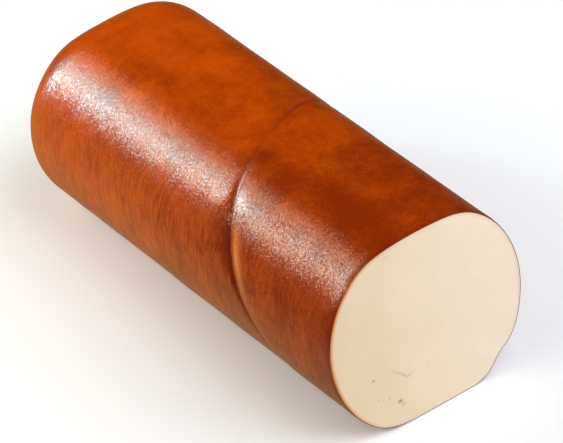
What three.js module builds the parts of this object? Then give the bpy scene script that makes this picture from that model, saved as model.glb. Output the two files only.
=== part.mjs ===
// A smoked processed cheese roll: one solid loaf, cut square at one end and rounded at the other.
// Millimetres. The roll lies along X with its cut face at +X, and rests on Z = 0 on its lower flat.
import * as THREE from 'three';

// Overall form
const rollLength = 219.4;        // along the axis, from the cut face to the far end
const skinRadius = 41.2;         // the filled casing before it is pressed flat
const ovalDepth = 1.22;          // how far the casing is drawn up into an oval
const ovalAngle = degrees(81);
const lobeDepth = -0.43;         // a slight three-cornered sag
const lobeAngle = degrees(-17);

// Flats pressed into the roll as it cooled on a rack
const topFlatHeight = 38.3;      // above the axis
const bottomFlatDepth = 36.35;   // below the axis
const flatSharpness = 15.8;      // power of the blend between the round skin and the flats
const restDepth = 35.75;         // plane that the roll stands on, below the axis

// Dent beside the lower flat, deepest at the cut and gone further along
const dentDepth = 2.6;
const dentAngle = degrees(-49);
const dentHalfAngle = degrees(10.4);
const dentReach = 70;

// Rounded far end: a blunt dome that leans, its top nearer the cut than its bottom
const domeDepth = 26.7;
const domeBluntness = 2.47;      // power of the dome's outline: 2 is an ellipse, more is flatter
const domeLeanAcross = -0.029;   // the dome is moved this much for each millimetre across
const domeLeanUp = 0.222;        // and this much for each millimetre up

// Slanted crease where the casing was folded: a groove with a raised lip towards the cut
const creaseMiddle = -68.4;      // along the axis, from the cut face
const creaseTilt = 30.0;
const creaseTiltAngle = degrees(-131.5);
const creaseBow = -5.3;
const creaseBowAngle = degrees(5.5);
const creaseDepth = 1.5;
const creaseLip = 0.7;
const creaseFarWidth = 3.6;      // the groove runs out gently towards the far end
const creaseNearWidth = 1.1;     // and is steep on the lip's side
const lipOffset = 2.4;
const creaseCentre = degrees(140);
const creaseHalfSpan = degrees(62);

// How finely the surface is divided
const stepsAround = 96;
const domeRings = 14;
const rowsBehindCrease = 8;
const rowsAheadOfCrease = 7;
const creaseRows = [-9, -6.2, -4.2, -2.6, -1.3, 0, 0.9, 1.7, 2.6, 4, 6.2, 9.5];

function degrees(value) {
  return (value * Math.PI) / 180;
}

// The shorter way round from one angle to another
function turnBetween(angle, centre) {
  return Math.atan2(Math.sin(angle - centre), Math.cos(angle - centre));
}

function bell(distance, width) {
  return Math.exp(-((distance / width) ** 2));
}

// Distance from the axis to the skin, at an angle measured from +Y towards +Z
function sectionRadius(angle, x) {
  const round = skinRadius
    + ovalDepth * Math.cos(2 * (angle - ovalAngle))
    + lobeDepth * Math.cos(3 * (angle - lobeAngle));
  const flat = Math.sin(angle) > 0 ? topFlatHeight : bottomFlatDepth;
  const flatRadius = flat / Math.max(Math.abs(Math.sin(angle)), 0.001);
  const pressed = (round ** -flatSharpness + flatRadius ** -flatSharpness) ** (-1 / flatSharpness);
  const dent = dentDepth * bell(turnBetween(angle, dentAngle), dentHalfAngle) * bell(x, dentReach);
  return pressed - dent;
}

function creasePosition(angle) {
  return creaseMiddle
    + creaseTilt * Math.cos(angle - creaseTiltAngle)
    + creaseBow * Math.cos(2 * angle - creaseBowAngle);
}

// How far the crease moves the skin in or out, at a distance along the roll from its line
function creaseRelief(angle, offset) {
  const strength = bell(turnBetween(angle, creaseCentre), creaseHalfSpan);
  const groove = bell(offset, offset < 0 ? creaseFarWidth : creaseNearWidth);
  const lip = bell(offset - lipOffset, offset < lipOffset ? lipOffset / 2 : 2 * lipOffset);
  return strength * (creaseLip * lip - creaseDepth * groove);
}

function skinPoint(angle, radius, x) {
  const y = radius * Math.cos(angle);
  const z = Math.max(radius * Math.sin(angle), -restDepth);
  return new THREE.Vector3(x, y, z);
}

// A ring of the far end, from 0 at the tip of the dome to 1 where the straight side starts
function domeRing(share) {
  const turn = (share * Math.PI) / 2;
  const outward = Math.sin(turn) ** (2 / domeBluntness);
  const forward = domeDepth * (1 - Math.cos(turn));
  return (angle) => {
    const point = skinPoint(angle, outward * sectionRadius(angle, -rollLength), 0);
    return point.setX(forward - rollLength + domeLeanAcross * point.y + domeLeanUp * point.z);
  };
}

function sidePoint(angle, x) {
  const radius = sectionRadius(angle, x) + creaseRelief(angle, x - creasePosition(angle));
  return skinPoint(angle, radius, x);
}

// Rows from the dome up to the crease's first row
function rowBehindCrease(share) {
  const domeEdge = domeRing(1);
  return (angle) => {
    const start = domeEdge(angle).x;
    const end = creasePosition(angle) + creaseRows[0];
    return sidePoint(angle, start + (end - start) * share);
  };
}

// Rows from the crease's last row to the cut
function rowAheadOfCrease(share) {
  return (angle) => {
    const start = creasePosition(angle) + creaseRows.at(-1);
    return sidePoint(angle, start * (1 - share));
  };
}

function allRings() {
  const rings = [];
  for (let i = 1; i <= domeRings; i += 1) rings.push(domeRing(i / domeRings));
  for (let i = 1; i < rowsBehindCrease; i += 1) rings.push(rowBehindCrease(i / rowsBehindCrease));
  for (const offset of creaseRows) {
    rings.push((angle) => sidePoint(angle, creasePosition(angle) + offset));
  }
  for (let i = 1; i <= rowsAheadOfCrease; i += 1) rings.push(rowAheadOfCrease(i / rowsAheadOfCrease));
  return rings;
}

// A closed skin: rings joined by triangles, with one point at the middle of each end
function rollGeometry() {
  const rings = allRings();
  const points = [new THREE.Vector3(-rollLength, 0, 0)];
  for (const ring of rings) {
    for (let j = 0; j < stepsAround; j += 1) points.push(ring((2 * Math.PI * j) / stepsAround));
  }
  points.push(new THREE.Vector3(0, 0, 0));

  const at = (ring, j) => 1 + ring * stepsAround + (j % stepsAround);
  const faces = [];
  const lastRing = rings.length - 1;
  for (let j = 0; j < stepsAround; j += 1) {
    faces.push(0, at(0, j + 1), at(0, j));
    for (let i = 0; i < lastRing; i += 1) {
      faces.push(at(i, j), at(i, j + 1), at(i + 1, j + 1));
      faces.push(at(i, j), at(i + 1, j + 1), at(i + 1, j));
    }
    faces.push(points.length - 1, at(lastRing, j), at(lastRing, j + 1));
  }

  const geometry = new THREE.BufferGeometry().setFromPoints(points);
  geometry.setIndex(faces);
  geometry.computeVertexNormals();
  return geometry;
}

// Puts the middle of the roll's underside at the origin
function standOnOrigin(geometry) {
  geometry.computeBoundingBox();
  const { min, max } = geometry.boundingBox;
  geometry.translate(-(min.x + max.x) / 2, -(min.y + max.y) / 2, -min.z);
  return geometry;
}

function makeCheeseRoll() {
  const smokedSkin = new THREE.MeshStandardMaterial({ color: '#a9430c', roughness: 0.4, metalness: 0 });
  const mesh = new THREE.Mesh(standOnOrigin(rollGeometry()), smokedSkin);
  mesh.name = 'cheese_roll';
  return mesh;
}

const group = new THREE.Group();
group.add(makeCheeseRoll());

export default group;
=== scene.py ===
import math
import bpy
from mathutils import Matrix, Vector


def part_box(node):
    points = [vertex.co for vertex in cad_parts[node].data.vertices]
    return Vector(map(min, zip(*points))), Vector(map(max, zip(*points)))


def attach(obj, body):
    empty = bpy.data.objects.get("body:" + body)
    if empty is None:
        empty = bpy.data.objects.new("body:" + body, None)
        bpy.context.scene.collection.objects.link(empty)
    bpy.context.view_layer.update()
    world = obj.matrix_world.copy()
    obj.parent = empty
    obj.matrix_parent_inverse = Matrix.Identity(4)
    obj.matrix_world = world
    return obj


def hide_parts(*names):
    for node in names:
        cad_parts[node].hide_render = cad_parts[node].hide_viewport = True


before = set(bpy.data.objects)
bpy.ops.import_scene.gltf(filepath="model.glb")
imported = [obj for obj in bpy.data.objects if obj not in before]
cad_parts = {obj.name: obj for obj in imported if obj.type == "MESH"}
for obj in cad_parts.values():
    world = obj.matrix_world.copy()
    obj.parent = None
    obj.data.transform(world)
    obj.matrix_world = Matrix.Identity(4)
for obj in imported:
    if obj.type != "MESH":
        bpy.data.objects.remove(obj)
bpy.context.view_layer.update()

millimetre = 0.001
maths = "ShaderNodeMath"
vectorMaths = "ShaderNodeVectorMath"
noiseLow, noiseHigh = 0.3, 0.7     # most of a noise's values lie between these


# A socket by its place in the list, or the one in use that has this name
def pickSocket(sockets, key):
    if isinstance(key, int):
        return sockets[key]
    return next(socket for socket in sockets if socket.name == key and socket.enabled)


# Adds one node, sets it, links or fills its inputs, and gives back its first output
def addNode(tree, kind, inputs=(), **settings):
    node = tree.nodes.new(kind)
    for name, value in settings.items():
        setattr(node, name, value)
    for key, source in inputs.items() if isinstance(inputs, dict) else enumerate(inputs):
        target = pickSocket(node.inputs, key)
        if isinstance(source, bpy.types.NodeSocket):
            tree.links.new(source, target)
        else:
            target.default_value = source
    return next((socket for socket in node.outputs if socket.enabled), None)


# sRGB hex to the linear colour that Blender works in
def hexColour(text):
    channels = [int(text[i:i + 2], 16) / 255 for i in (1, 3, 5)]
    linear = [c / 12.92 if c <= 0.04045 else ((c + 0.055) / 1.055) ** 2.4 for c in channels]
    return (*linear, 1.0)


# Form of the roll, in millimetres, with the axis at 0 and the cut at 0.
# Angles go round the axis from +Y towards +Z.
rollForm = {
    "rollLength": 219.4,
    "skinRadius": 41.2,
    "ovalDepth": 1.22,
    "ovalAngle": math.radians(81),
    "lobeDepth": -0.43,
    "lobeAngle": math.radians(-17),
    "topFlatHeight": 38.3,
    "bottomFlatDepth": 36.35,
    "flatSharpness": 15.8,
    "restDepth": 35.75,                # the roll stands on this plane
    "dentDepth": 2.6,
    "dentAngle": math.radians(-49),
    "dentHalfAngle": math.radians(10.4),
    "dentReach": 70.0,
    "domeDepth": 26.7,
    "domeBluntness": 2.47,
    "domeLeanAcross": -0.029,
    "domeLeanUp": 0.222,
    "creaseMiddle": -68.4,
    "creaseTilt": 30.0,
    "creaseTiltAngle": math.radians(-131.5),
    "creaseBow": -5.3,
    "creaseBowAngle": math.radians(5.5),
    "creaseDepth": 1.3,
    "creaseFarWidth": 1.8,
    "creaseNearWidth": 0.4,
    "creaseFlare": 7.0,                # the groove widens behind, low on the side
    "creaseFlareAngle": math.radians(150),
    "creaseFlareSpan": math.radians(14),
    "creaseCentre": math.radians(155),
    "creaseHalfSpan": math.radians(52),
    "creaseSoftWidth": 2.4,            # and is soft where it runs out round the roll
    "creaseSoftAt": 0.6,               # strength up to which it is soft, and from which it is sharp
    "creaseSharpAt": 0.9,
    "creaseShutAt": 0.45,              # strength up to which it has no depth, and from which it has it all
    "creaseOpenAt": 0.85,
    "creaseNarrowShare": 0.85,         # share of the depth and of the smoke stain and painted shade where it doesn't widen
    "creaseFlareShare": 0.15,          # and what the widening adds to it
    "crestCentre": math.radians(64),   # it shows again, faintly, over the far shoulder
    "crestHalfSpan": math.radians(19),
    "crestStrength": 0.65,
    "smokeAndShadeLeast": 0.15,                # and smoke stain with painted shade marks it all the way round
    "lipHeight": 0.85,                 # the casing swells again before the cut
    "lipOffset": 9.0,
    "lipRise": 7.0,
    "lipRunout": 24.0,
    "smokeAndShadePlace": -0.4,                # from the crease's line
    "lipLightOffset": 3.7,              # painted light on the swelling's low edge, where it catches the lamps
    "lipLightRise": 1.2,
    "lipLightRunout": 3.2,
    "lipLightAngle": math.radians(154.5),
    "lipLightSpan": math.radians(15),
    "foldDepth": 0.35,                 # a second, faint fold near the cut
    "foldPlace": -25.0,
    "foldWidth": 1.0,
    "foldCentre": math.radians(184),
    "foldHalfSpan": math.radians(24),
    "edgeDepth": 0.22,                 # the skin draws in at the cut
    "edgeWidth": 0.9,
    "edgeDarkening": 0.5,                  # and painted shade darkens it there
    "edgeDarkeningWidth": 1.6,
    "swellHeight": 0.7,                # slow unevenness of the filled casing
    "swellLength": 30.0,
    "swellDetail": 1.0,
    "rippleHeight": 0.12,              # and a finer unevenness
    "rippleLength": 5.0,
    "rippleDetail": 2.0,
    "skinThickness": 0.26,
    "domeShare": 0.2,                  # share of the rows spent on the dome
    "creaseShare": 0.6,                # share of the straight side's rows behind the crease
    "rowCrowding": 1.6,                # how closely the rows crowd at the crease
    "edgeCrowding": 1.5,               # and at the cut
}

# Sheets of each surface, from a first row to a last: place along the roll from 0 at the tip to 1
# at the cut, share of the radius, and depth under the outside in skin thicknesses. The paste starts
# just inside the skin, so that the two never lie in one place.
skinSheets = [
    {"rows": 212, "along": (0, 1), "share": (1, 1), "depth": (0, 0)},
    {"rows": 3, "along": (1, 1), "share": (1, 1), "depth": (0, 1)},
    {"rows": 20, "along": (1, 0), "share": (1, 1), "depth": (1, 17)},
]
pasteSheets = [
    {"rows": 20, "along": (0, 1), "share": (1, 1), "depth": (17.04, 1.04)},
    {"rows": 130, "along": (1, 1), "share": (1, 0), "depth": (1.04, 1.04)},
]
stepsAround = 400
mergeDistance = 0.002              # in millimetres: closes the seam and the poles
sharpAngle = math.radians(50)      # only the edges of the cut stay sharp

# Pores in the cut face: place across and up from the axis, half sizes, turn, depth, and how much painted
# shade they get
pores = [
    {"place": (-16.2, -25.6), "size": (0.75, 0.65), "turn": 0, "depth": 0.9, "shade": 0.95},
    {"place": (-15.2, -27.2), "size": (0.8, 0.5), "turn": 40, "depth": 0.4, "shade": 0.35},
    {"place": (-15.6, -13.4), "size": (2.6, 0.4), "turn": -40, "depth": 0.3, "shade": 0.3},
    {"place": (-13.0, -15.9), "size": (1.9, 0.45), "turn": -50, "depth": 0.32, "shade": 0.4},
    {"place": (-10.6, -17.0), "size": (1.1, 0.35), "turn": 16, "depth": 0.3, "shade": 0.4},
    {"place": (-25.0, -11.6), "size": (0.5, 0.4), "turn": -50, "depth": 0.5, "shade": 0.8},
    {"place": (-20.2, -21.8), "size": (0.5, 0.4), "turn": 0, "depth": 0.35, "shade": 0.5},
    {"place": (-24.5, -20.2), "size": (0.45, 0.35), "turn": 30, "depth": 0.25, "shade": 0.4},
    {"place": (-22.6, -21.3), "size": (0.35, 0.3), "turn": 0, "depth": 0.2, "shade": 0.3},
    {"place": (7.4, -20.1), "size": (0.4, 0.3), "turn": 0, "depth": 0.2, "shade": 0.3},
    {"place": (-2.9, -16.0), "size": (0.4, 0.3), "turn": 20, "depth": 0.2, "shade": 0.3},
    {"place": (-11.2, 33.5), "size": (0.5, 0.3), "turn": 0, "depth": 0.2, "shade": 0.3},
]


# A smooth bump of height 1 that has almost gone at two widths
def makeBellGroup():
    tree = bpy.data.node_groups.new("bell", "GeometryNodeTree")
    for name in ("Distance", "Width"):
        tree.interface.new_socket(name, in_out="INPUT", socket_type="NodeSocketFloat")
    tree.interface.new_socket("Height", in_out="OUTPUT", socket_type="NodeSocketFloat")
    given = addNode(tree, "NodeGroupInput").node.outputs
    ratio = addNode(tree, maths, [given["Distance"], given["Width"]], operation="DIVIDE")
    square = addNode(tree, maths, [ratio, ratio], operation="MULTIPLY")
    below = addNode(tree, maths, [square, -1.0], operation="MULTIPLY")
    height = addNode(tree, maths, [below], operation="EXPONENT")
    addNode(tree, "NodeGroupOutput", {"Height": height})
    return tree


bellGroup = makeBellGroup()


# A bell round the shorter way from one angle to another
def addAngleBell(tree, angle, centre, width):
    apart = addNode(tree, maths, [angle, centre], operation="SUBTRACT")
    turn = addNode(tree, maths, [apart, math.pi, -math.pi], operation="WRAP")
    return addNode(tree, "GeometryNodeGroup", {"Distance": turn, "Width": width}, node_tree=bellGroup)


# A bell about a place along the roll, with one width behind it and another towards the cut
def addLopsidedBell(tree, offset, middle, behind, ahead):
    apart = addNode(tree, maths, [offset, middle], operation="SUBTRACT")
    isAhead = addNode(tree, maths, [apart, 0.0], operation="GREATER_THAN")
    width = addNode(tree, "ShaderNodeMix", {"Factor": isAhead, "A": behind, "B": ahead})
    return addNode(tree, "GeometryNodeGroup", {"Distance": apart, "Width": width}, node_tree=bellGroup)


# Radius of the section at an angle: a slightly oval round skin, pressed to two flats
def addSection(tree, size, angle):
    ovalTurn = addNode(tree, maths, [angle, size["ovalAngle"]], operation="SUBTRACT")
    ovalTwice = addNode(tree, maths, [ovalTurn, 2.0], operation="MULTIPLY")
    ovalWave = addNode(tree, maths, [ovalTwice], operation="COSINE")
    lobeTurn = addNode(tree, maths, [angle, size["lobeAngle"]], operation="SUBTRACT")
    lobeThrice = addNode(tree, maths, [lobeTurn, 3.0], operation="MULTIPLY")
    lobeWave = addNode(tree, maths, [lobeThrice], operation="COSINE")
    oval = addNode(tree, maths, [ovalWave, size["ovalDepth"], size["skinRadius"]],
                   operation="MULTIPLY_ADD")
    casing = addNode(tree, maths, [lobeWave, size["lobeDepth"], oval], operation="MULTIPLY_ADD")
    upness = addNode(tree, maths, [angle], operation="SINE")
    isTop = addNode(tree, maths, [upness, 0.0], operation="GREATER_THAN")
    flat = addNode(tree, "ShaderNodeMix",
                   {"Factor": isTop, "A": size["bottomFlatDepth"], "B": size["topFlatHeight"]})
    steepness = addNode(tree, maths, [upness], operation="ABSOLUTE")
    safe = addNode(tree, maths, [steepness, 0.001], operation="MAXIMUM")    # never divides by nothing
    flatRadius = addNode(tree, maths, [flat, safe], operation="DIVIDE")
    power = addNode(tree, maths, [size["flatSharpness"], -1.0], operation="MULTIPLY")
    root = addNode(tree, maths, [1.0, power], operation="DIVIDE")
    roundPower = addNode(tree, maths, [casing, power], operation="POWER")
    flatPower = addNode(tree, maths, [flatRadius, power], operation="POWER")
    both = addNode(tree, maths, [roundPower, flatPower], operation="ADD")
    return addNode(tree, maths, [both, root], operation="POWER")


# Where the slanted crease runs, along the roll
def addCreaseLine(tree, size, angle):
    tiltTurn = addNode(tree, maths, [angle, size["creaseTiltAngle"]], operation="SUBTRACT")
    tiltWave = addNode(tree, maths, [tiltTurn], operation="COSINE")
    bowTwice = addNode(tree, maths, [angle, 2.0], operation="MULTIPLY")
    bowTurn = addNode(tree, maths, [bowTwice, size["creaseBowAngle"]], operation="SUBTRACT")
    bowWave = addNode(tree, maths, [bowTurn], operation="COSINE")
    tilted = addNode(tree, maths, [tiltWave, size["creaseTilt"], size["creaseMiddle"]],
                     operation="MULTIPLY_ADD")
    return addNode(tree, maths, [bowWave, size["creaseBow"], tilted], operation="MULTIPLY_ADD")


# The crease: a groove that widens behind low on the side, and a swelling before the cut.
# Gives the relief, the smoke stain with painted shade in the groove, and the painted light on the swelling.
def addCreaseRelief(tree, size, angle, offset):
    flare = addAngleBell(tree, angle, size["creaseFlareAngle"], size["creaseFlareSpan"])
    strength = addAngleBell(tree, angle, size["creaseCentre"], size["creaseHalfSpan"])
    crest = addAngleBell(tree, angle, size["crestCentre"], size["crestHalfSpan"])
    crest = addNode(tree, maths, [crest, size["crestStrength"]], operation="MULTIPLY")

    # groove
    farWidth = addNode(tree, maths, [flare, size["creaseFlare"], size["creaseFarWidth"]],
                       operation="MULTIPLY_ADD")
    isNear = addNode(tree, maths, [offset, 0.0], operation="GREATER_THAN")
    sharpWidth = addNode(tree, "ShaderNodeMix",
                         {"Factor": isNear, "A": farWidth, "B": size["creaseNearWidth"]})
    sharpness = addNode(tree, "ShaderNodeMapRange",
                        {"Value": strength, "From Min": size["creaseSoftAt"],
                         "From Max": size["creaseSharpAt"]})
    width = addNode(tree, "ShaderNodeMix",
                    {"Factor": sharpness, "A": size["creaseSoftWidth"], "B": sharpWidth})
    groove = addNode(tree, "GeometryNodeGroup", {"Distance": offset, "Width": width}, node_tree=bellGroup)
    openness = addNode(tree, "ShaderNodeMapRange",
                       {"Value": strength, "From Min": size["creaseShutAt"],
                        "From Max": size["creaseOpenAt"]})
    openness = addNode(tree, maths, [openness, crest], operation="MAXIMUM")
    gathered = addNode(tree, maths, [flare, size["creaseFlareShare"], size["creaseNarrowShare"]],
                       operation="MULTIPLY_ADD")
    grooveDepth = groove
    for factor in (gathered, size["creaseDepth"], openness):
        grooveDepth = addNode(tree, maths, [grooveDepth, factor], operation="MULTIPLY")

    # swelling
    lip = addLopsidedBell(tree, offset, size["lipOffset"], size["lipRise"], size["lipRunout"])
    swelling = addNode(tree, maths, [lip, size["lipHeight"]], operation="MULTIPLY")
    swelling = addNode(tree, maths, [swelling, strength], operation="MULTIPLY")
    relief = addNode(tree, maths, [swelling, grooveDepth], operation="SUBTRACT")

    # smoke stain and painted shade in the groove
    smokeAndShade = addLopsidedBell(tree, offset, size["smokeAndShadePlace"], farWidth, size["creaseNearWidth"])
    reach = addNode(tree, maths, [strength, crest], operation="MAXIMUM")
    reach = addNode(tree, maths, [reach, size["smokeAndShadeLeast"]], operation="MAXIMUM")
    for share in (reach, gathered):
        smokeAndShade = addNode(tree, maths, [smokeAndShade, share], operation="MULTIPLY")

    # painted light on the swelling's low edge
    paintedLipLight = addLopsidedBell(tree, offset, size["lipLightOffset"],
                                size["lipLightRise"], size["lipLightRunout"])
    low = addAngleBell(tree, angle, size["lipLightAngle"], size["lipLightSpan"])
    paintedLipLight = addNode(tree, maths, [paintedLipLight, low], operation="MULTIPLY")
    return relief, smokeAndShade, paintedLipLight


# The faint second fold: a thin groove across the roll
def addFoldRelief(tree, size, angle, along):
    offset = addNode(tree, maths, [along, size["foldPlace"]], operation="SUBTRACT")
    groove = addNode(tree, "GeometryNodeGroup", {"Distance": offset, "Width": size["foldWidth"]},
                     node_tree=bellGroup)
    strength = addAngleBell(tree, angle, size["foldCentre"], size["foldHalfSpan"])
    depth = addNode(tree, maths, [strength, size["foldDepth"]], operation="MULTIPLY")
    return addNode(tree, maths, [groove, depth], operation="MULTIPLY")


# Unevenness of one height and wavelength, the same in every run
def addUnevenness(tree, place, height, length, detail):
    wave = addNode(tree, maths, [1.0, length], operation="DIVIDE")
    noise = addNode(tree, "ShaderNodeTexNoise", {"Vector": place, "Scale": wave, "Detail": detail})
    centred = addNode(tree, maths, [noise, 0.5], operation="SUBTRACT")
    return addNode(tree, maths, [centred, height], operation="MULTIPLY")


# One sheet of the surface as a unit grid that carries its place on the roll
def addSheet(tree, sheet, around):
    grid = addNode(tree, "GeometryNodeMeshGrid",
                   {"Size X": 1.0, "Size Y": 1.0, "Vertices X": sheet["rows"], "Vertices Y": around + 1})
    corner = addNode(tree, "GeometryNodeInputPosition")
    axes = addNode(tree, "ShaderNodeSeparateXYZ", [corner]).node.outputs
    for name in ("along", "share", "depth"):
        first, last = sheet[name]
        value = addNode(tree, "ShaderNodeMapRange",
                        {"Value": axes[0], "From Min": -0.5, "From Max": 0.5,
                         "To Min": first, "To Max": last})
        grid = addNode(tree, "GeometryNodeStoreNamedAttribute",
                       {"Geometry": grid, "Name": name, "Value": value},
                       data_type="FLOAT", domain="POINT")
    turn = addNode(tree, maths, [axes[1], 0.5], operation="ADD")
    angle = addNode(tree, maths, [turn, 2 * math.pi], operation="MULTIPLY")
    return addNode(tree, "GeometryNodeStoreNamedAttribute",
                   {"Geometry": grid, "Name": "angle", "Value": angle},
                   data_type="FLOAT", domain="POINT")


# The shape of a pore in the cut face, 1 at its middle
def addPore(tree, place, pore):
    across, up = pore["place"]
    halfLength, halfWidth = pore["size"]
    middle = addNode(tree, vectorMaths, [place, (0.0, across, up)], operation="SUBTRACT")
    turned = addNode(tree, "ShaderNodeVectorRotate",
                     {"Vector": middle, "Angle": -math.radians(pore["turn"])}, rotation_type="X_AXIS")
    scaled = addNode(tree, vectorMaths, [turned, (0.0, 1 / halfLength, 1 / halfWidth)],
                     operation="MULTIPLY")
    distance = addNode(tree, vectorMaths, [scaled], operation="LENGTH").node.outputs["Value"]
    return addNode(tree, "GeometryNodeGroup", {"Distance": distance, "Width": 1.0}, node_tree=bellGroup)


# The tree that makes a surface of the roll from its sheets
def makeRollTree(name, sheets, holes, around):
    tree = bpy.data.node_groups.new(name, "GeometryNodeTree")
    tree.interface.new_socket("Geometry", in_out="OUTPUT", socket_type="NodeSocketGeometry")
    for key in rollForm:
        tree.interface.new_socket(key, in_out="INPUT", socket_type="NodeSocketFloat")
    for key in ("cutX", "axisZ"):
        tree.interface.new_socket(key, in_out="INPUT", socket_type="NodeSocketFloat")
    tree.interface.new_socket("material", in_out="INPUT", socket_type="NodeSocketMaterial")
    given = addNode(tree, "NodeGroupInput").node.outputs
    size = {socket.name: socket for socket in given if socket.name}

    joined = addNode(tree, "GeometryNodeJoinGeometry")
    for sheet in reversed(sheets):
        tree.links.new(addSheet(tree, sheet, around), joined.node.inputs[0])
    place = {key: addNode(tree, "GeometryNodeInputNamedAttribute", {"Name": key}, data_type="FLOAT")
             for key in ("along", "share", "depth", "angle")}
    angle = place["angle"]
    sine = addNode(tree, maths, [angle], operation="SINE")
    cosine = addNode(tree, maths, [angle], operation="COSINE")
    section = addSection(tree, size, angle)

    # dome: 0 at the tip and a quarter turn where the straight side starts
    domePart = addNode(tree, maths, [place["along"], size["domeShare"]], operation="DIVIDE", use_clamp=True)
    turn = addNode(tree, maths, [domePart, math.pi / 2], operation="MULTIPLY")
    turnSine = addNode(tree, maths, [turn], operation="SINE")
    turnCosine = addNode(tree, maths, [turn], operation="COSINE")
    bluntPower = addNode(tree, maths, [2.0, size["domeBluntness"]], operation="DIVIDE")
    outward = addNode(tree, maths, [turnSine, bluntPower], operation="POWER")
    domeRadius = addNode(tree, maths, [outward, section], operation="MULTIPLY")
    domeAcross = addNode(tree, maths, [domeRadius, cosine], operation="MULTIPLY")
    domeUp = addNode(tree, maths, [domeRadius, sine], operation="MULTIPLY")
    forward = addNode(tree, maths, [1.0, turnCosine], operation="SUBTRACT")
    fromTip = addNode(tree, maths, [forward, size["domeDepth"]], operation="MULTIPLY")
    domeLine = addNode(tree, maths, [fromTip, size["rollLength"]], operation="SUBTRACT")
    domeLine = addNode(tree, maths, [domeAcross, size["domeLeanAcross"], domeLine], operation="MULTIPLY_ADD")
    domeLine = addNode(tree, maths, [domeUp, size["domeLeanUp"], domeLine], operation="MULTIPLY_ADD")

    # straight side: rows crowd at the crease from both sides
    sidePart = addNode(tree, "ShaderNodeMapRange", {"Value": place["along"], "From Min": size["domeShare"]})
    behind = addNode(tree, maths, [sidePart, size["creaseShare"]], operation="DIVIDE", use_clamp=True)
    ahead = addNode(tree, "ShaderNodeMapRange", {"Value": sidePart, "From Min": size["creaseShare"]})
    toCrease = addNode(tree, maths, [1.0, behind], operation="SUBTRACT")
    toCrease = addNode(tree, maths, [toCrease, size["rowCrowding"]], operation="POWER")
    toCrease = addNode(tree, maths, [1.0, toCrease], operation="SUBTRACT")
    pastCrease = addNode(tree, maths, [ahead, size["rowCrowding"]], operation="POWER")
    crease = addCreaseLine(tree, size, angle)
    line = addNode(tree, "ShaderNodeMix", {"Factor": toCrease, "A": domeLine, "B": crease})
    toCut = addNode(tree, maths, [1.0, pastCrease], operation="SUBTRACT")
    toCut = addNode(tree, maths, [toCut, size["edgeCrowding"]], operation="POWER")
    line = addNode(tree, maths, [line, toCut], operation="MULTIPLY")

    # relief of the outside
    dent = addAngleBell(tree, angle, size["dentAngle"], size["dentHalfAngle"])
    dentFade = addNode(tree, "GeometryNodeGroup", {"Distance": line, "Width": size["dentReach"]},
                       node_tree=bellGroup)
    dentDepth = addNode(tree, maths, [dent, dentFade], operation="MULTIPLY")
    dentDepth = addNode(tree, maths, [dentDepth, size["dentDepth"]], operation="MULTIPLY")
    offset = addNode(tree, maths, [line, crease], operation="SUBTRACT")
    relief, smokeAndShade, paintedLipLight = addCreaseRelief(tree, size, angle, offset)
    relief = addNode(tree, maths, [relief, addFoldRelief(tree, size, angle, line)], operation="SUBTRACT")
    edge = addNode(tree, "GeometryNodeGroup", {"Distance": line, "Width": size["edgeWidth"]},
                   node_tree=bellGroup)
    edgeDepth = addNode(tree, maths, [edge, size["edgeDepth"]], operation="MULTIPLY")
    relief = addNode(tree, maths, [relief, edgeDepth], operation="SUBTRACT")
    smooth = addNode(tree, "ShaderNodeCombineXYZ", [line, domeAcross, domeUp])
    for wave in ("swell", "ripple"):
        uneven = addUnevenness(tree, smooth, size[wave + "Height"], size[wave + "Length"],
                               size[wave + "Detail"])
        relief = addNode(tree, maths, [relief, uneven], operation="ADD")
    relief = addNode(tree, maths, [relief, outward], operation="MULTIPLY")
    relief = addNode(tree, maths, [relief, dentDepth], operation="SUBTRACT")

    # depth under the outside, square to the surface
    depth = addNode(tree, maths, [place["depth"], size["skinThickness"]], operation="MULTIPLY")
    inward = addNode(tree, maths, [depth, turnSine], operation="MULTIPLY")
    onward = addNode(tree, maths, [depth, turnCosine], operation="MULTIPLY")
    radius = addNode(tree, maths, [domeRadius, relief], operation="ADD")
    floorRadius = addNode(tree, maths, [radius, inward], operation="SUBTRACT")
    floorRadius = addNode(tree, maths, [floorRadius, 0.0], operation="MAXIMUM")
    floorRadius = addNode(tree, maths, [floorRadius, place["share"]], operation="MULTIPLY")
    across = addNode(tree, maths, [floorRadius, cosine], operation="MULTIPLY")
    up = addNode(tree, maths, [floorRadius, sine], operation="MULTIPLY")
    rest = addNode(tree, maths, [depth, size["restDepth"]], operation="SUBTRACT")
    up = addNode(tree, maths, [up, rest], operation="MAXIMUM")
    line = addNode(tree, maths, [line, onward], operation="ADD")

    # painted shade in the pores
    poreShade = 0.0
    if holes:
        isFace = addNode(tree, maths, [place["share"], 0.999], operation="LESS_THAN")   # not its rim
        facePlace = addNode(tree, "ShaderNodeCombineXYZ", [0.0, across, up])
        for hole in holes:
            hollow = addNode(tree, maths, [addPore(tree, facePlace, hole), isFace], operation="MULTIPLY")
            line = addNode(tree, maths, [hollow, -hole["depth"], line], operation="MULTIPLY_ADD")
            poreShade = addNode(tree, maths, [hollow, hole["shade"], poreShade], operation="MULTIPLY_ADD")

    millimetres = addNode(tree, "ShaderNodeCombineXYZ", [line, across, up])
    metres = addNode(tree, vectorMaths, {0: millimetres, "Scale": millimetre}, operation="SCALE")
    origin = addNode(tree, "ShaderNodeCombineXYZ", [size["cutX"], 0.0, size["axisZ"]])
    position = addNode(tree, vectorMaths, [metres, origin], operation="ADD")
    placed = addNode(tree, "GeometryNodeSetPosition", {"Geometry": joined, "Position": position})
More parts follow.
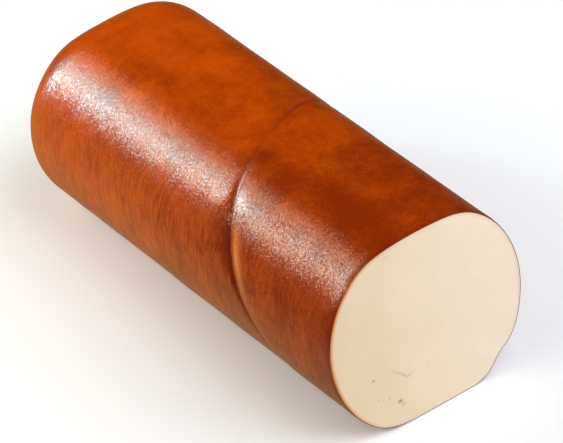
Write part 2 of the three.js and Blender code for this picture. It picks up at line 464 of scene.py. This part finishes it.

    # what the materials read: a map in millimetres, the smoke stain with painted shade, the painted
    # light on the swelling, the painted shade in the pores and the paste's depth under the skin
    arc = addNode(tree, maths, [angle, size["skinRadius"]], operation="MULTIPLY")
    mapPlace = addNode(tree, "ShaderNodeCombineXYZ", [line, arc, 0.0])
    mapped = addNode(tree, "GeometryNodeStoreNamedAttribute",
                     {"Geometry": placed, "Name": "surfaceMap", "Value": mapPlace},
                     data_type="FLOAT2", domain="CORNER")
    # painted shade: the skin is darker along the cut, where its drawn-in edge turns from the lamps
    edgeDarkening = addNode(tree, "GeometryNodeGroup", {"Distance": line, "Width": size["edgeDarkeningWidth"]},
                        node_tree=bellGroup)
    edgeDarkening = addNode(tree, maths, [edgeDarkening, size["edgeDarkening"]], operation="MULTIPLY")
    smokeAndShade = addNode(tree, maths, [smokeAndShade, edgeDarkening], operation="MAXIMUM")
    unshared = addNode(tree, maths, [1.0, place["share"]], operation="SUBTRACT")
    skinDepth = addNode(tree, maths, [unshared, section], operation="MULTIPLY")
    marks = {"smokeAndShade": smokeAndShade, "paintedLipLight": paintedLipLight, "skinDepth": skinDepth, "poreShade": poreShade}
    for key, value in marks.items():
        mapped = addNode(tree, "GeometryNodeStoreNamedAttribute",
                         {"Geometry": mapped, "Name": key, "Value": value},
                         data_type="FLOAT", domain="POINT")

    closed = addNode(tree, "GeometryNodeMergeByDistance",
                     {"Geometry": mapped, "Distance": mergeDistance * millimetre})
    shaded = addNode(tree, "GeometryNodeSetShadeSmooth", {"Geometry": closed})
    real = addNode(tree, "GeometryNodeRealizeInstances", {"Geometry": shaded})
    finished = addNode(tree, "GeometryNodeSetMaterial", {"Geometry": real, "Material": size["material"]})
    addNode(tree, "NodeGroupOutput", {"Geometry": finished})
    return tree


# Runs a tree once and keeps the result as a plain mesh
def growPiece(name, tree, values):
    piece = bpy.data.objects.new(name, bpy.data.meshes.new(name))
    bpy.context.scene.collection.objects.link(piece)
    modifier = piece.modifiers.new("form", "NODES")
    modifier.node_group = tree
    for item in tree.interface.items_tree:
        if item.item_type == "SOCKET" and item.in_out == "INPUT":
            modifier[item.identifier] = values[item.name]
    ready = bpy.context.evaluated_depsgraph_get()
    mesh = bpy.data.meshes.new_from_object(piece.evaluated_get(ready), preserve_all_data_layers=True,
                                           depsgraph=ready)
    piece.modifiers.remove(modifier)
    piece.data = mesh
    mesh.name = name
    mesh.set_sharp_from_angle(angle=sharpAngle)
    print("stage: made", name, "with", len(mesh.polygons), "faces")
    return piece


# Smoked skin: casing-dried, smoke-browned and rubbed to a satin, so the colour is deep and uneven
# and the fine grain breaks every highlight into points. Lengths in millimetres.
skinLook = {
    "amber": "#d45500",
    "brown": "#8a2a00",
    # colour of the smoke stain and painted shade in the crease and along the cut
    "dark": "#701600",
    # colour of the painted light on the swelling's low edge
    "lip": "#ff984e",
    "wrinkle": "#dc7810",
    "cutEdge": "#6e4a30",
    "amountAtEnds": (-0.02, 0.93),   # how brown, at the far end and at the cut; the paler far end is partly painted light
    "endsAt": 110.0,
    "mottleLength": 16.0,
    "mottleAmount": 0.22,
    "mottleDetail": 2.0,
    "cloudLength": 3.5,
    "cloudAmount": 0.14,
    "cloudDetail": 4.0,
    "wrinkleWidth": 0.9,
    "wrinkleLength": 7.0,
    "wrinkleDetail": 3.0,
    "wrinkleRoughness": 0.6,
    "wrinkleAmount": 0.4,            # how pale the drawn-up lines are
    "wrinklePale": (0.45, 0.7),      # part of the noise over which they grow pale
    "wrinkleShade": 0.12,            # and how much browner the skin is between them
    "wrinkleBrown": (0.35, 0.65),    # part of the noise over which it turns from browner to paler
    "wrinkleHeight": 0.035,
    "wrinkleTop": 68.0,              # height over the table where the fine wrinkles stop
    "wrinkleFull": 54.0,             # and where they are at their full strength
    "wrinkleFade": (20.0, 100.0),    # they get fainter from here to here, along the roll
    "wrinkleAtCut": 0.4,             # share of the wrinkling that is left at the cut
    "scratchAmount": 0.45,
    "scratchCore": 0.1,
    "scratchEdge": 0.45,
    "patchFade": 1.6,                # a smoke patch has gone at this many half sizes
    "pebbleSpacing": 0.28,           # pebbled grain, as fine as the weave of a casing
    "pebbleAmount": 0.5,             # how much browner or paler a single pebble is
    "pebbleLean": 0.24,              # slope from one side to the other
    "lipLightShare": 0.85,                # how much painted light the swelling's low edge takes
    "lipLightBreak": -0.5,                # and less of it on browner pebbles
    "grainLength": 0.45,
    "grainHeight": 0.02,
    "roughness": 0.23,
    "ior": 1.46,
    "specular": 0.85,                # fat has come up to the surface, so it mirrors well
    "scatter": 0.15,
    "scatterRadii": (1.0, 0.3, 0.1),
    "scatterDepth": 1.5,
}

# Scratches that caught as the casing was stripped: from and to, along the roll and round it
scratches = [
    {"from": (-48.1, 142.2), "to": (-44.9, 128.8)},
    {"from": (-26.7, 142.0), "to": (-23.4, 135.5)},
    {"from": (-27.3, 152.5), "to": (-23.1, 161.0)},
    {"from": (-12.7, 149.8), "to": (-14.5, 161.2)},
    {"from": (-20.5, 121.5), "to": (-22.8, 113.5)},
]

# Uneven smoking and painted shade: place along and round the roll, half sizes in mm, how much browner
smokeAndShadePatches = [
    {"place": (-30.0, 101.0), "size": (34.0, 8.0), "amount": 0.4},
    {"place": (-135.0, 163.0), "size": (34.0, 8.0), "amount": -0.1},
    {"place": (-48.0, 163.0), "size": (14.0, 16.0), "amount": -0.15},
    {"place": (-60.0, 112.0), "size": (8.0, 12.0), "amount": 0.35},
    {"place": (-76.0, 103.0), "size": (5.0, 4.0), "amount": 0.4},
    {"place": (-155.0, 104.0), "size": (30.0, 6.0), "amount": 0.35},
    {"place": (-12.0, 142.0), "size": (18.0, 14.0), "amount": -0.3},
    # painted shade: a browner band along the far half of the highlight, so that it reads whiter
    {"place": (-142.0, 130.0), "size": (42.0, 6.5), "amount": 0.35},
]


# A soft oval in the skin's own map, 1 at its middle
def addPatch(tree, place, patch):
    x, turn = patch["place"]
    middle = (x, math.radians(turn) * rollForm["skinRadius"], 0.0)
    apart = addNode(tree, vectorMaths, [place, middle], operation="SUBTRACT")
    scaled = addNode(tree, vectorMaths, [apart, (1 / patch["size"][0], 1 / patch["size"][1], 0.0)],
                     operation="MULTIPLY")
    distance = addNode(tree, vectorMaths, [scaled], operation="LENGTH").node.outputs["Value"]
    return addNode(tree, "ShaderNodeMapRange",
                   {"Value": distance, "From Max": skinLook["patchFade"], "To Min": 1.0, "To Max": 0.0},
                   interpolation_type="SMOOTHSTEP")


# A line that is strongest in its middle, in the skin's own map
def addScratch(tree, place, scratch):
    first, last = (Vector((x, math.radians(turn) * rollForm["skinRadius"], 0.0))
                   for x, turn in (scratch["from"], scratch["to"]))
    course = last - first
    fromFirst = addNode(tree, vectorMaths, [place, tuple(first)], operation="SUBTRACT")
    along = addNode(tree, vectorMaths, [fromFirst, tuple(course / course.length_squared)],
                    operation="DOT_PRODUCT").node.outputs["Value"]
    share = addNode(tree, maths, [along, 1.0], operation="MULTIPLY", use_clamp=True)
    onLine = addNode(tree, vectorMaths, {0: tuple(course), "Scale": share}, operation="SCALE")
    apart = addNode(tree, vectorMaths, [fromFirst, onLine], operation="DISTANCE").node.outputs["Value"]
    near = addNode(tree, "ShaderNodeMapRange",
                   {"Value": apart, "From Min": skinLook["scratchCore"],
                    "From Max": skinLook["scratchEdge"], "To Min": 1.0, "To Max": 0.0})
    fade = addNode(tree, maths, [share, math.pi], operation="MULTIPLY")
    fade = addNode(tree, maths, [fade], operation="SINE")
    return addNode(tree, maths, [near, fade], operation="MULTIPLY")


def makeSkinMaterial():
    look = skinLook
    material = bpy.data.materials.new("smokedCheeseSkin")
    material.use_nodes = True
    tree = material.node_tree
    tree.nodes.clear()
    place = addNode(tree, "ShaderNodeTexCoord").node.outputs["Object"]
    place = addNode(tree, vectorMaths, {0: place, "Scale": 1 / millimetre}, operation="SCALE")
    axes = addNode(tree, "ShaderNodeSeparateXYZ", [place]).node.outputs

    # how brown: more towards the cut, the far end partly painted light, in mottles, clouds and patches
    farAmount, cutAmount = look["amountAtEnds"]
    amount = addNode(tree, "ShaderNodeMapRange",
                     {"Value": axes[0], "From Min": -look["endsAt"], "From Max": look["endsAt"],
                      "To Min": farAmount, "To Max": cutAmount})
    for name in ("mottle", "cloud"):
        noise = addNode(tree, "ShaderNodeTexNoise",
                        {"Vector": place, "Scale": 1 / look[name + "Length"],
                         "Detail": look[name + "Detail"]})
        part = addNode(tree, "ShaderNodeMapRange",
                       {"Value": noise, "From Min": noiseLow, "From Max": noiseHigh,
                        "To Min": -look[name + "Amount"], "To Max": look[name + "Amount"]})
        amount = addNode(tree, maths, [amount, part], operation="ADD")
    surfaceMap = addNode(tree, "ShaderNodeAttribute", attribute_name="surfaceMap").node.outputs["Vector"]
    for patch in smokeAndShadePatches:
        share = addPatch(tree, surfaceMap, patch)
        amount = addNode(tree, maths, [share, patch["amount"], amount], operation="MULTIPLY_ADD")

    # wrinkling runs round the roll, low on its sides, and is fainter towards the cut
    across = 1 / look["wrinkleLength"]
    drawnOut = addNode(tree, vectorMaths, [place, (1 / look["wrinkleWidth"], across, across)],
                       operation="MULTIPLY")
    wrinkle = addNode(tree, "ShaderNodeTexNoise",
                      {"Vector": drawnOut, "Scale": 1.0, "Detail": look["wrinkleDetail"],
                       "Roughness": look["wrinkleRoughness"]})
    low = addNode(tree, "ShaderNodeMapRange",
                  {"Value": axes[2], "From Min": look["wrinkleTop"], "From Max": look["wrinkleFull"]})
    fadeStart, fadeEnd = look["wrinkleFade"]
    fading = addNode(tree, "ShaderNodeMapRange",
                     {"Value": axes[0], "From Min": fadeStart, "From Max": fadeEnd,
                      "To Min": 1.0, "To Max": look["wrinkleAtCut"]})
    wrinkling = addNode(tree, maths, [low, fading], operation="MULTIPLY")
    brownest, palest = look["wrinkleBrown"]
    shade = addNode(tree, "ShaderNodeMapRange",
                    {"Value": wrinkle, "From Min": brownest, "From Max": palest,
                     "To Min": look["wrinkleShade"], "To Max": -look["wrinkleShade"]})
    amount = addNode(tree, maths, [shade, wrinkling, amount], operation="MULTIPLY_ADD")

    # and each pebble of the grain is a little browner or paler
    pebbles = addNode(tree, "ShaderNodeTexVoronoi",
                      {"Vector": place, "Scale": 1 / look["pebbleSpacing"]}).node.outputs
    chance = addNode(tree, vectorMaths, [pebbles["Color"], (0.5, 0.5, 0.5)], operation="SUBTRACT")
    fleck = addNode(tree, "ShaderNodeSeparateXYZ", [chance])
    amount = addNode(tree, maths, [fleck, look["pebbleAmount"], amount],
                     operation="MULTIPLY_ADD", use_clamp=True)
    colour = addNode(tree, "ShaderNodeMix",
                     {"Factor": amount, "A": hexColour(look["amber"]), "B": hexColour(look["brown"])},
                     data_type="RGBA")

    # paler where wrinkles draw the skin up, and along scratches
    ridgeFoot, ridgeTop = look["wrinklePale"]
    ridge = addNode(tree, "ShaderNodeMapRange",
                    {"Value": wrinkle, "From Min": ridgeFoot, "From Max": ridgeTop,
                     "To Min": 0.0, "To Max": look["wrinkleAmount"]})
    ridge = addNode(tree, maths, [ridge, wrinkling], operation="MULTIPLY")
    for scratch in scratches:
        mark = addNode(tree, maths, [addScratch(tree, surfaceMap, scratch), look["scratchAmount"]],
                       operation="MULTIPLY")
        ridge = addNode(tree, maths, [ridge, mark], operation="MAXIMUM")

    # painted light on the swelling's edge, smoke stain with painted shade, and dry at its own cut edge
    marks = {name: addNode(tree, "ShaderNodeAttribute", attribute_name=name).node.outputs["Fac"]
             for name in ("paintedLipLight", "smokeAndShade", "depth")}
    lipLightShare = addNode(tree, maths, [fleck, look["lipLightBreak"], look["lipLightShare"]], operation="MULTIPLY_ADD")
    lip = addNode(tree, maths, [marks["paintedLipLight"], lipLightShare], operation="MULTIPLY", use_clamp=True)
    layers = {"wrinkle": ridge, "lip": lip, "dark": marks["smokeAndShade"], "cutEdge": marks["depth"]}
    for tone, share in layers.items():
        colour = addNode(tree, "ShaderNodeMix", {"Factor": share, "A": colour, "B": hexColour(look[tone])},
                         data_type="RGBA")

    # pebbled grain: each facet leans its own way
    lean = addNode(tree, vectorMaths, {0: chance, "Scale": look["pebbleLean"]}, operation="SCALE")
    upright = addNode(tree, "ShaderNodeNewGeometry").node.outputs["Normal"]
    leaning = addNode(tree, vectorMaths, [upright, lean], operation="ADD")
    leaning = addNode(tree, vectorMaths, [leaning], operation="NORMALIZE")
    grain = addNode(tree, "ShaderNodeTexNoise",
                    {"Vector": place, "Scale": 1 / look["grainLength"], "Detail": 0.0})
    relief = addNode(tree, maths, [wrinkle, look["wrinkleHeight"]], operation="MULTIPLY")
    relief = addNode(tree, maths, [grain, look["grainHeight"], relief], operation="MULTIPLY_ADD")
    bump = addNode(tree, "ShaderNodeBump",
                   {"Height": relief, "Strength": 1.0, "Distance": millimetre, "Normal": leaning})
    shader = addNode(tree, "ShaderNodeBsdfPrincipled",
                     {"Base Color": colour, "Roughness": look["roughness"], "IOR": look["ior"],
                      "Specular IOR Level": look["specular"], "Normal": bump,
                      "Subsurface Weight": look["scatter"], "Subsurface Radius": look["scatterRadii"],
                      "Subsurface Scale": look["scatterDepth"] * millimetre})
    addNode(tree, "ShaderNodeOutputMaterial", {"Surface": shader})
    return material


# Processed cheese paste: melted, filled hot and set, so it is smooth, dense and slightly
# see-through, with an amber stain where the smoke has gone in under the skin. Lengths in millimetres.
pasteLook = {
    "cream": "#eedec8",
    "warm": "#dfc9a9",
    "shadedSide": -42.0,    # painted shade: the paste is darker and yellower towards this side
    "litSide": 25.0,
    "mottleLength": 14.0,
    "mottleAmount": 0.14,
    "mottleDetail": 4.0,
    "stain": "#d98a3a",
    "stainDepth": 1.6,
    "stainSide": -28.0,   # the stain is at its full strength from here out
    "stainFaint": -4.0,
    "stainLeast": 0.2,
    "stainHigh": 26.0,    # and from this height up
    "stainLow": 4.0,
    # colour of the painted shade in the pores
    "pore": "#a08348",
    "curdLength": 0.9,
    "curdHeight": 0.012,
    "curdDetail": 2.0,
    "roughness": 0.45,
    "ior": 1.42,
    "scatter": 0.3,
    "scatterRadii": (1.0, 0.6, 0.35),
    "scatterDepth": 1.0,
}


def makePasteMaterial():
    look = pasteLook
    material = bpy.data.materials.new("processedCheesePaste")
    material.use_nodes = True
    tree = material.node_tree
    tree.nodes.clear()
    place = addNode(tree, "ShaderNodeTexCoord").node.outputs["Object"]
    place = addNode(tree, vectorMaths, {0: place, "Scale": 1 / millimetre}, operation="SCALE")
    axes = addNode(tree, "ShaderNodeSeparateXYZ", [place]).node.outputs
    side = axes["Y"]

    # painted shade: darker and yellower on one side, in soft mottles
    cream = addNode(tree, "ShaderNodeMapRange",
                    {"Value": side, "From Min": look["shadedSide"], "From Max": look["litSide"]})
    mottle = addNode(tree, "ShaderNodeTexNoise",
                     {"Vector": place, "Scale": 1 / look["mottleLength"], "Detail": look["mottleDetail"]})
    mottle = addNode(tree, "ShaderNodeMapRange",
                     {"Value": mottle, "From Min": noiseLow, "From Max": noiseHigh,
                      "To Min": -look["mottleAmount"], "To Max": look["mottleAmount"]})
    cream = addNode(tree, maths, [cream, mottle], operation="ADD", use_clamp=True)
    colour = addNode(tree, "ShaderNodeMix",
                     {"Factor": cream, "A": hexColour(look["warm"]), "B": hexColour(look["cream"])},
                     data_type="RGBA")

    # amber stain under the skin
    depth = addNode(tree, "ShaderNodeAttribute", attribute_name="skinDepth").node.outputs["Fac"]
    stained = addNode(tree, "ShaderNodeMapRange",
                      {"Value": depth, "From Max": look["stainDepth"], "To Min": 1.0, "To Max": 0.0},
                      interpolation_type="SMOOTHSTEP")
    strength = addNode(tree, "ShaderNodeMapRange",
                       {"Value": side, "From Min": look["stainSide"], "From Max": look["stainFaint"],
                        "To Min": 1.0, "To Max": look["stainLeast"]})
    high = addNode(tree, "ShaderNodeMapRange",
                   {"Value": axes["Z"], "From Min": look["stainLow"], "From Max": look["stainHigh"],
                    "To Min": look["stainLeast"], "To Max": 1.0})
    for fade in (strength, high):
        stained = addNode(tree, maths, [stained, fade], operation="MULTIPLY")
    # painted shade in the pores
    poreShade = addNode(tree, "ShaderNodeAttribute", attribute_name="poreShade").node.outputs["Fac"]
    for share, tone in ((stained, "stain"), (poreShade, "pore")):
        colour = addNode(tree, "ShaderNodeMix", {"Factor": share, "A": colour, "B": hexColour(look[tone])},
                         data_type="RGBA")

    # a faint curd in the smooth cut
    curd = addNode(tree, "ShaderNodeTexNoise",
                   {"Vector": place, "Scale": 1 / look["curdLength"], "Detail": look["curdDetail"]})
    bump = addNode(tree, "ShaderNodeBump",
                   {"Height": curd, "Strength": 1.0, "Distance": look["curdHeight"] * millimetre})
    shader = addNode(tree, "ShaderNodeBsdfPrincipled",
                     {"Base Color": colour, "Roughness": look["roughness"], "IOR": look["ior"],
                      "Normal": bump, "Subsurface Weight": look["scatter"],
                      "Subsurface Radius": look["scatterRadii"],
                      "Subsurface Scale": look["scatterDepth"] * millimetre})
    addNode(tree, "ShaderNodeOutputMaterial", {"Surface": shader})
    return material


cadLow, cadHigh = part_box("cheese_roll")
formValues = dict(rollForm)
formValues["cutX"] = cadHigh.x
formValues["axisZ"] = cadLow.z + rollForm["restDepth"] * millimetre

skinTree = makeRollTree("rolledSkin", skinSheets, [], stepsAround)
pasteTree = makeRollTree("rolledPaste", pasteSheets, pores, stepsAround)
skin = growPiece("smoked_skin", skinTree, {**formValues, "material": makeSkinMaterial()})
paste = growPiece("cheese_paste", pasteTree, {**formValues, "material": makePasteMaterial()})

# the axis lies where the skin's widest line meets the solid's side
widest = max(vertex.co.y for vertex in skin.data.vertices)
axisY = cadHigh.y - widest
for piece in (skin, paste):
    piece.data.transform(Matrix.Translation((0.0, axisY, 0.0)))
print("stage: axis at", round(axisY / millimetre, 3), "mm")

for piece, slotName in ((skin, "smoked_skin"), (paste, "cheese_paste")):
    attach(piece, "root")
    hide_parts("cheese_roll")

# Pale matt floor, so that white light comes back up under the roll, and a dim room. Metres.
studio = {
    "floorColour": "#f4f8ff",
    "floorRoughness": 0.9,
    "floorGlow": 0.15,        # a little light through the board, as from a light table
    "floorGlowColour": "#dcebff",
    "floorHalf": 3.0,
    "floorGap": 0.00002,      # between the board and the roll's flat
    "skyStrength": 0.02,      # what the skin mirrors from above the horizon
    "groundStrength": 0.29,   # and from below it
    "groundColour": "#fff0b0",
    "groundStart": -0.15,     # the room pales downwards from here
    "groundFull": -0.52,      # to here
}

# Soft lamps: place from the roll's middle and size in metres, power in watts. The first four make
# the long highlight, the next light the cut, the low side and the far shoulder.
lamps = {
    "strip": {"place": (-0.575, -0.285, 0.284), "size": (0.21, 0.26), "power": 1.45, "colour": "#a4f0f4"},
    "spark": {"place": (-0.650, -0.300, 0.152), "size": (0.1, 0.1), "power": 1.3, "colour": "#c8f0fa"},
    "glow": {"place": (-0.405, -0.400, 0.315), "size": (0.15, 0.17), "power": 1.0, "colour": "#ffc494"},
    "halo": {"place": (-0.455, -0.185, 0.462), "size": (0.22, 0.35), "power": 0.85, "colour": "#ffdcb4"},
    "key": {"place": (0.95, 0.4, 0.95), "size": (1.2, 1.2), "power": 19.3, "colour": "#ffffff"},
    "side": {"place": (0.15, -1.3, 1.05), "size": (0.6, 1.0), "power": 4.8, "colour": "#ffdc90",
             "mirrored": False},  # bounced light, with no lamp for the folds to mirror
    "right": {"place": (0.0, 0.6, 0.5), "size": (0.4, 0.4), "power": 0.8, "colour": "#ffffff"},
}


def makeFloor():
    half = studio["floorHalf"]
    corners = [(-half, -half, 0), (half, -half, 0), (half, half, 0), (-half, half, 0)]
    mesh = bpy.data.meshes.new("floor")
    mesh.from_pydata(corners, [], [(0, 1, 2, 3)])
    mesh.transform(Matrix.Translation((0, 0, cadLow.z - studio["floorGap"])))
    floor = bpy.data.objects.new("floor", mesh)
    bpy.context.scene.collection.objects.link(floor)
    material = bpy.data.materials.new("matPaintedBoard")
    material.use_nodes = True
    tree = material.node_tree
    tree.nodes.clear()
    shader = addNode(tree, "ShaderNodeBsdfPrincipled",
                     {"Base Color": hexColour(studio["floorColour"]), "Roughness": studio["floorRoughness"],
                      "Emission Color": hexColour(studio["floorGlowColour"]),
                      "Emission Strength": studio["floorGlow"]})
    addNode(tree, "ShaderNodeOutputMaterial", {"Surface": shader})
    mesh.materials.append(material)
    floor.visible_glossy = False


# A soft rectangular lamp that looks at a point, with its long side along the roll
def addLamp(name, aim, light):
    lamp = bpy.data.lights.new(name + "Lamp", "AREA")
    lamp.shape = "RECTANGLE"
    lamp.size, lamp.size_y = light["size"]
    lamp.energy = light["power"]
    lamp.color = hexColour(light["colour"])[:3]
    holder = bpy.data.objects.new(name + "Lamp", lamp)
    place = Vector(light["place"])
    back = place.normalized()
    lengthwise = (Vector((1, 0, 0)) - back * back.x).normalized()
    axes = Matrix((lengthwise.cross(back), lengthwise, back)).transposed().to_4x4()
    holder.matrix_world = Matrix.Translation(aim + place) @ axes
    holder.visible_glossy = light.get("mirrored", True)
    bpy.context.scene.collection.objects.link(holder)


# The camera looks down on the cut end from its left, and is tipped a little. Millimetres, degrees.
cameraSet = {
    "lens": 338.9,
    "distance": 1893.0,
    "azimuth": 63.041,
    "elevation": 35.023,
    "roll": -11.962,
    "aimBack": 98.93,   # aim point, from the axis at the cut
    "aimAcross": 3.6,
    "aimBelow": 9.2,
}


def makeCamera():
    around, above = math.radians(cameraSet["azimuth"]), math.radians(cameraSet["elevation"])
    aim = Vector((cadHigh.x - cameraSet["aimBack"] * millimetre,
                  axisY + cameraSet["aimAcross"] * millimetre,
                  formValues["axisZ"] - cameraSet["aimBelow"] * millimetre))
    back = Vector((math.sin(around) * math.cos(above), -math.cos(around) * math.cos(above), math.sin(above)))
    level = Vector((math.cos(around), math.sin(around), 0.0))
    right = Matrix.Rotation(math.radians(cameraSet["roll"]), 3, back) @ level
    up = back.cross(right)
    camera = bpy.data.cameras.new("camera")
    camera.lens = cameraSet["lens"]
    holder = bpy.data.objects.new("camera", camera)
    axes = Matrix((right, up, back)).transposed().to_4x4()
    holder.matrix_world = Matrix.Translation(aim + back * cameraSet["distance"] * millimetre) @ axes
    bpy.context.scene.collection.objects.link(holder)
    bpy.context.scene.camera = holder


# A dim room that is paler below: the floor lights the roll, and the room gives its reflections
def makeWorld():
    world = bpy.data.worlds.new("studio")
    bpy.context.scene.world = world
    world.use_nodes = True
    tree = world.node_tree
    tree.nodes.clear()
    direction = addNode(tree, "ShaderNodeTexCoord").node.outputs["Generated"]
    height = addNode(tree, "ShaderNodeSeparateXYZ", [direction]).node.outputs["Z"]
    strength = addNode(tree, "ShaderNodeMapRange",
                       {"Value": height, "From Min": studio["groundStart"], "From Max": studio["groundFull"],
                        "To Min": studio["skyStrength"], "To Max": studio["groundStrength"]})
    seen = addNode(tree, "ShaderNodeLightPath").node.outputs["Is Camera Ray"]
    strength = addNode(tree, "ShaderNodeMix", {"Factor": seen, "A": strength, "B": 1.0})
    colour = addNode(tree, "ShaderNodeMix",
                     {"Factor": seen, "A": hexColour(studio["groundColour"]), "B": (1, 1, 1, 1)},
                     data_type="RGBA")
    background = addNode(tree, "ShaderNodeBackground", {"Color": colour, "Strength": strength})
    addNode(tree, "ShaderNodeOutputWorld", {"Surface": background})


makeFloor()
makeCamera()
for name, light in lamps.items():
    addLamp(name, (cadLow + cadHigh) / 2, light)
makeWorld()
bpy.context.scene.view_settings.view_transform = "Standard"
print("stage: studio ready")
